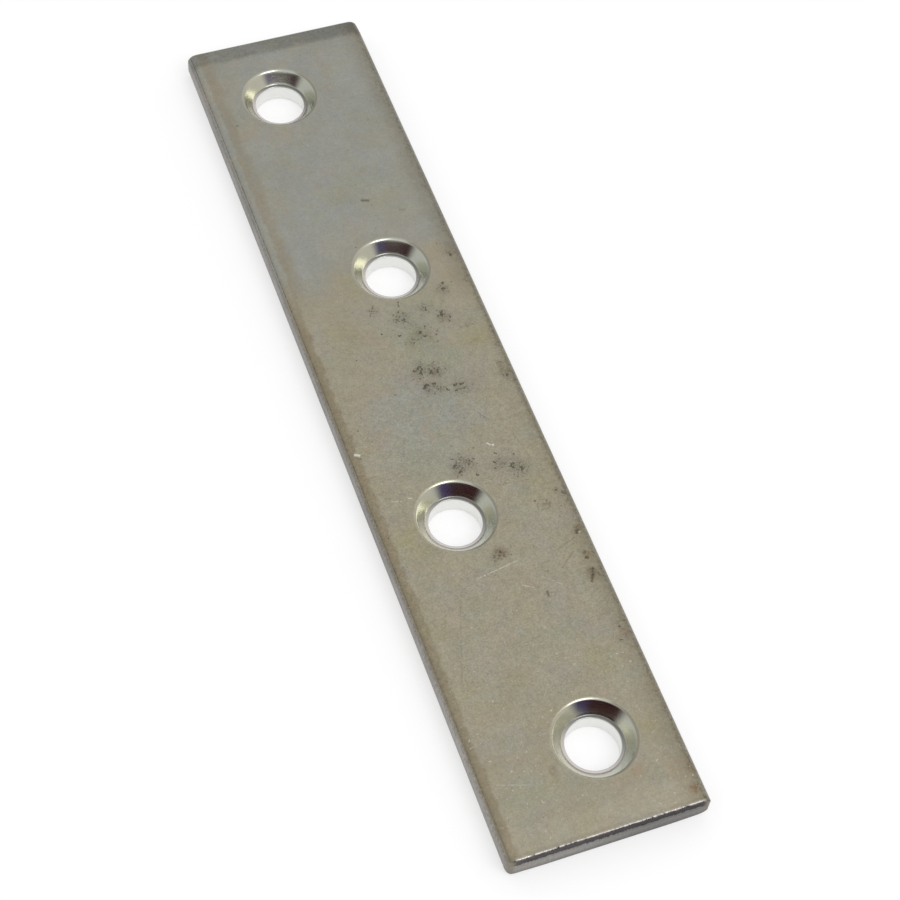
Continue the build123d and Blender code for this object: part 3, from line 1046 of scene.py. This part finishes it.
        height = 0.0
        for part, relief in (
            (grain, 0.0011),
            (graph.noise(self.place, 3.2, 3.0, 0.6), 0.0035),
            (specks, -0.005),
            (light, -0.006),
            (self.torn * torn, 0.05),
            (drag * foot, 0.012),
        ):
            height = height + part * relief
        bump = graph.add("Bump", {"Strength": 1.0, "Distance": 1.0, "Height": height * MM})
        look = {"Base Color": colour, "Roughness": rough, "Normal": bump.outputs["Normal"], "Metallic": 1.0}
        shader = graph.add("BsdfPrincipled", look)
        graph.add("OutputMaterial", {"Surface": shader.outputs["BSDF"]})
        return self.material


# --- Stage ---


def studio_world(stage):
    """White for the camera, and for everything else a soft studio dome with a dark flag before it."""
    world = bpy.data.worlds.new("studio_dome")
    bpy.context.scene.world = world
    graph = Graph.fresh(world)
    direction = graph.add("TexCoord").outputs["Generated"]
    up = graph.split(direction)[2]
    ramp = graph.add("ValToRGB", {"Fac": up})
    elements = ramp.color_ramp.elements
    elements[0].position, elements[1].position = DOME_TONES[0][0], DOME_TONES[-1][0]
    for position, _ in DOME_TONES[1:-1]:
        elements.new(position)
    for element, (position, value) in zip(elements, DOME_TONES, strict=True):
        element.position, element.color = position, (value, value, value, 1.0)
    azimuth = math.radians(stage.flag_azimuth_degrees)
    toward = (math.cos(azimuth), math.sin(azimuth), 0.0)
    level = graph.vector("NORMALIZE", graph.vector("MULTIPLY", direction, (1.0, 1.0, 0.0)))
    facing = graph.measure("DOT_PRODUCT", level, toward)
    across = graph.measure("DOT_PRODUCT", level, (-toward[1], toward[0], 0.0))
    flag = graph.span(up, *FLAG_FOOT) * graph.fall(up, *FLAG_TOP) * graph.span(facing, *FLAG_SIDES)
    end = graph.span(across, *FLAG_END)
    tone = graph.mix(end, (*stage.flag_colour, 1.0), (*stage.flag_end_colour, 1.0))
    glow = graph.mix(flag, ramp.outputs["Color"], tone)
    dome = graph.add("Background", {"Color": glow, "Strength": stage.dome_strength})
    white = graph.add("Background", {"Color": WHITE, "Strength": 1.0})
    seen = graph.add("LightPath").outputs["Is Camera Ray"]
    chosen = graph.add("MixShader", {0: seen, 1: dome.outputs[0], 2: white.outputs[0]})
    graph.add("OutputWorld", {"Surface": chosen.outputs[0]})


def floor_material(stage):
    """A plain pale floor that the camera and the metal see as white where nothing shades it."""
    material = bpy.data.materials.new("pale_floor")
    graph = Graph.fresh(material)
    lit = graph.add("BsdfDiffuse", {"Color": (*stage.floor_colour, 1.0)})
    glow = graph.add("Emission", {"Color": WHITE, "Strength": 1.0})
    path = graph.add("LightPath").outputs
    seen = graph.math("MAXIMUM", path["Is Camera Ray"], path["Is Glossy Ray"])
    seen = graph.math("MAXIMUM", seen, path["Is Transmission Ray"])
    both = graph.add("MixShader", {0: seen * stage.floor_glow, 1: lit.outputs[0], 2: glow.outputs[0]})
    graph.add("OutputMaterial", {"Surface": both.outputs[0]})
    return material


def link(thing):
    """Puts an object into the scene."""
    bpy.context.scene.collection.objects.link(thing)
    return thing


def soft_lamp(power):
    """A square softbox, aimed at the middle of the plate."""
    lamp = bpy.data.lights.new("softbox", "AREA")
    lamp.shape, lamp.size, lamp.size_y, lamp.energy = "RECTANGLE", LAMP_SIZE, LAMP_SIZE, power
    holder = link(bpy.data.objects.new("softbox", lamp))
    holder.location = LAMP_PLACE
    holder.rotation_euler = (-Vector(LAMP_PLACE)).to_track_quat("-Z", "Y").to_euler()


# --- Settings ---


def number(name, description, default, **limits):
    """A number."""
    return bpy.props.FloatProperty(name=name, description=description, default=default, **limits)


def length(name, description, default):
    """A length in metres, set with its default in millimetres."""
    return number(name, description, default * MM, min=0.0, precision=5, unit="LENGTH")


def share(name, description, default):
    """A plain factor from 0 to 1."""
    return number(name, description, default, min=0.0, max=1.0, subtype="FACTOR")


def tint(name, description, default):
    """A colour, given as it shows on a screen."""
    value = [((c + 0.055) / 1.055) ** 2.4 if c > 0.04045 else c / 12.92 for c in default]
    return bpy.props.FloatVectorProperty(
        name=name, description=description, default=value, size=3, min=0.0, max=1.0, subtype="COLOR"
    )


class MendingPlateForm(bpy.types.PropertyGroup):
    """Sizes of the plate that its packed box doesn't give."""

    long_edge_radius: length("Long edge radius", "Rounding of the rolled long edges", 0.8)
    corner_radius: length("Corner radius", "Rounding of the four corners in plan", 0.3)
    far_roll_length: length("Far roll-over length", "How far the top of the far end rolls over", 1.5)
    far_roll_depth: length("Far roll-over depth", "How deep the top of the far end rolls over", 0.35)
    near_roll_length: length("Near roll-over length", "How far the underside of the near end rolls over", 0.5)
    near_roll_depth: length("Near roll-over depth", "How deep the underside of the near end rolls over", 0.25)
    shear_edge_radius: length("Shear edge radius", "Rounding of the sharp side of a sheared end", 0.12)
    countersink_diameter: length("Countersink diameter", "Width of each countersink at the face", 6.35)
    countersink_floor_diameter: length("Floor diameter", "Outer width of a countersink's flat ring", 4.7)
    countersink_depth: length("Countersink depth", "Depth of each countersink", 1.05)
    lip_radius: length("Lip radius", "Soft edge round each countersink", 0.36)
    hole_edge_radius: length("Hole edge radius", "Edge of each hole on the underside", 0.15)
    face_waviness: length("Face waviness", "Depth of the slow waves in the rolled faces", 0.014)
    edge_fall: length("Edge fall", "How far the face falls away along the right edge", 0.04)
    edge_fall_width: length("Edge fall width", "Width of the strip that falls away", 1.4)


class MendingPlateFinish(bpy.types.PropertyGroup):
    """Colours and gloss of the zinc plating, with the painted light and shade that go with them."""

    face_colour: tint("Face", "Olive-grey zinc", (0.603, 0.58, 0.51))
    cool_colour: tint("Cool patches", "Bluish grey zinc", (0.573, 0.578, 0.553))
    green_colour: tint("Green patches", "Greenish zinc", (0.58, 0.585, 0.525))
    olive_colour: tint("Olive patches", "Yellower zinc", (0.59, 0.57, 0.45))
    lilac_colour: tint("Lilac patches", "Faintly lilac zinc", (0.595, 0.57, 0.54))
    tan_colour: tint("Tan patches", "Tan zinc", (0.615, 0.56, 0.475))
    edge_colour: tint("Left edge band", "Browner zinc beside the left edge", (0.535, 0.495, 0.41))
    band_colour: tint("Right edge band", "Darker zinc beside the right edge", (0.495, 0.468, 0.40))
    wall_colour: tint("Wall", "Greyer zinc on the long sides", (0.585, 0.57, 0.545))
    rust_colour: tint("Rust", "Brown stains", (0.47, 0.375, 0.28))
    # Partly painted reflection: lighter than the face, for the countersinks' bright reflections
    bore_colour: tint("Countersinks", "Greenish bright zinc inside the holes", (0.725, 0.735, 0.69))
    # Painted reflection: creamy sheen at the left of each countersink
    cream_colour: tint("Creamy zinc", "Yellowish bright zinc at the left of each hole", (0.755, 0.74, 0.665))
    # Painted light: the rings' lit near side
    ledge_colour: tint("Rings", "Flat ring at the bottom of each countersink", (0.80, 0.775, 0.765))
    # Painted shade: the rings' far right side and their outer groove
    shade_colour: tint("Ring shade", "The rings' far right side and their outer groove", (0.42, 0.42, 0.40))
    # Painted reflection: near-white hole walls
    land_colour: tint("Hole walls", "Straight walls of the holes", (0.92, 0.92, 0.91))
    burnish_colour: tint("Burnished cut", "Smooth part of a sheared end", (0.575, 0.56, 0.54))
    fracture_colour: tint("Torn cut", "Rough part of a sheared end", (0.30, 0.28, 0.285))
    # Partly painted highlight along the sharp edge
    burr_colour: tint("Burr", "Bright torn rim of a sheared end", (0.69, 0.67, 0.65))
    # Painted shade: dark line along the rounded long edges, also laid on the corners of the ends
    crease_colour: tint("Crease", "Dark line along the rounded left edge", (0.42, 0.39, 0.34))
    speck_colour: tint("Specks", "Dark specks and dark scratches", (0.27, 0.25, 0.19))
    bright_colour: tint("Scratches", "Fresh metal in light scratches", (0.85, 0.84, 0.8))
    far_tint: share("Far tint", "How bluish the far end is", 0.95)
    mottle: share("Mottle", "Strength of the coloured mottling", 0.45)
    edge_strength: share("Edge band strength", "How strongly the edge bands show", 0.85)
    # Painted shade: how dark that line is
    shade_line_strength: share("Crease strength", "How dark the crease is", 0.5)
    speck_strength: share("Speck strength", "How dark the specks are", 0.8)
    # Painted shade of the rolled-over band
    roll_shade_tone: share("Roll-over tone", "Tone of the rolled-over band against the face", 0.82)
    grain: share("Grain", "Strength of the fine grain", 0.1)
    roughness: share("Roughness", "Gloss of the faces", 0.38)
    bore_roughness: share("Countersink roughness", "Gloss inside the holes", 0.19)


class MendingPlateStage(bpy.types.PropertyGroup):
    """Floor, light and camera."""

    floor_colour: tint("Floor", "Colour of the floor", (0.97, 0.97, 0.97))
    floor_size: length("Floor size", "Width of the square floor", 1600.0)
    floor_glow: share("Floor glow", "How much of the floor's white doesn't depend on the lamps", 0.6)
    dome_strength: number("Dome strength", "Level of the soft light from all round", 1.0, min=0.0)
    flag_azimuth_degrees: number("Flag direction", "Where the dark flag stands, from +X towards +Y", -115.0)
    flag_colour: tint("Flag", "Colour of the dark flag", (0.22, 0.02, 0.07))
    flag_end_colour: tint("Flag end", "Colour of the dark flag's nearer end", (0.28, 0.22, 0.44))
    lamp_power: number("Lamp power", "Power of the overhead softbox", 0.9, min=0.0, unit="POWER")
    camera_place: bpy.props.FloatVectorProperty(
        name="Camera place",
        description="Where the camera stands",
        default=(-0.039969, -0.090702, 0.143838),
        size=3,
        subtype="TRANSLATION",
        unit="LENGTH",
    )
    camera_turn: bpy.props.FloatVectorProperty(
        name="Camera turn",
        description="Camera rotation",
        default=(0.581414, -0.062038, -0.348579),
        size=3,
        subtype="EULER",
        unit="ROTATION",
    )
    camera_lens: number("Lens", "Focal length on a 36 mm sensor", 86.4169, min=1.0, unit="CAMERA")


# --- Operators ---


class BuildPlate(bpy.types.Operator):
    """Build the zinc-plated plate in place of the plain CAD solid"""

    bl_idname = "mending_plate.build_plate"
    bl_label = "Build Plate"

    def execute(self, context):
        scene = context.scene
        skin = PlateBuilder(scene.mending_plate_form).build()
        plate = link(bpy.data.objects.new("zinc_plate", mesh_from_skin("zinc_plate", skin)))
        plate.data.materials.append(ZincPainter(scene.mending_plate_finish).build())
        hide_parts(PART)
        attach(plate, "root")
        return {"FINISHED"}


class BuildStage(bpy.types.Operator):
    """Set up the floor, the soft light and the camera"""

    bl_idname = "mending_plate.build_stage"
    bl_label = "Build Stage"

    def execute(self, context):
        stage = context.scene.mending_plate_stage
        half = stage.floor_size / 2
        mesh = bpy.data.meshes.new("floor")
        signs = ((-1, -1), (1, -1), (1, 1), (-1, 1))
        mesh.from_pydata([(half * a, half * b, -FLOOR_DROP) for a, b in signs], [], [(0, 1, 2, 3)])
        mesh.materials.append(floor_material(stage))
        link(bpy.data.objects.new("floor", mesh))
        studio_world(stage)
        soft_lamp(stage.lamp_power)
        lens = bpy.data.cameras.new("camera")
        lens.sensor_width, lens.lens = SENSOR_WIDTH, stage.camera_lens
        lens.clip_start, lens.clip_end = CLIP_START, CLIP_END
        camera = link(bpy.data.objects.new("camera", lens))
        camera.location = stage.camera_place
        camera.rotation_euler = stage.camera_turn
        context.scene.camera = camera
        context.scene.view_settings.view_transform = "Standard"
        return {"FINISHED"}


class PlatePanel(bpy.types.Panel):
    """Settings and buttons for the mending plate"""

    bl_idname = "VIEW3D_PT_mending_plate"
    bl_label = "Mending Plate"
    bl_space_type = "VIEW_3D"
    bl_region_type = "UI"
    bl_category = "Mending Plate"

    def draw(self, context):
        for group, operator in (
            ("mending_plate_form", None),
            ("mending_plate_finish", BuildPlate),
            ("mending_plate_stage", BuildStage),
        ):
            settings = getattr(context.scene, group)
            box = self.layout.box()
            for name in type(settings).__annotations__:
                box.prop(settings, name)
            if operator:
                box.operator(operator.bl_idname)


GROUPS = {
    "mending_plate_form": MendingPlateForm,
    "mending_plate_finish": MendingPlateFinish,
    "mending_plate_stage": MendingPlateStage,
}
CLASSES = (*GROUPS.values(), BuildPlate, BuildStage, PlatePanel)


def register():
    for cls in CLASSES:
        bpy.utils.register_class(cls)
    for name, group in GROUPS.items():
        setattr(bpy.types.Scene, name, bpy.props.PointerProperty(type=group))


def unregister():
    for name in GROUPS:
        delattr(bpy.types.Scene, name)
    for cls in reversed(CLASSES):
        bpy.utils.unregister_class(cls)


def main():
    """Builds the plate and the stage."""
    register()
    bpy.ops.mending_plate.build_plate()
    bpy.ops.mending_plate.build_stage()


if __name__ == "__main__":
    main()
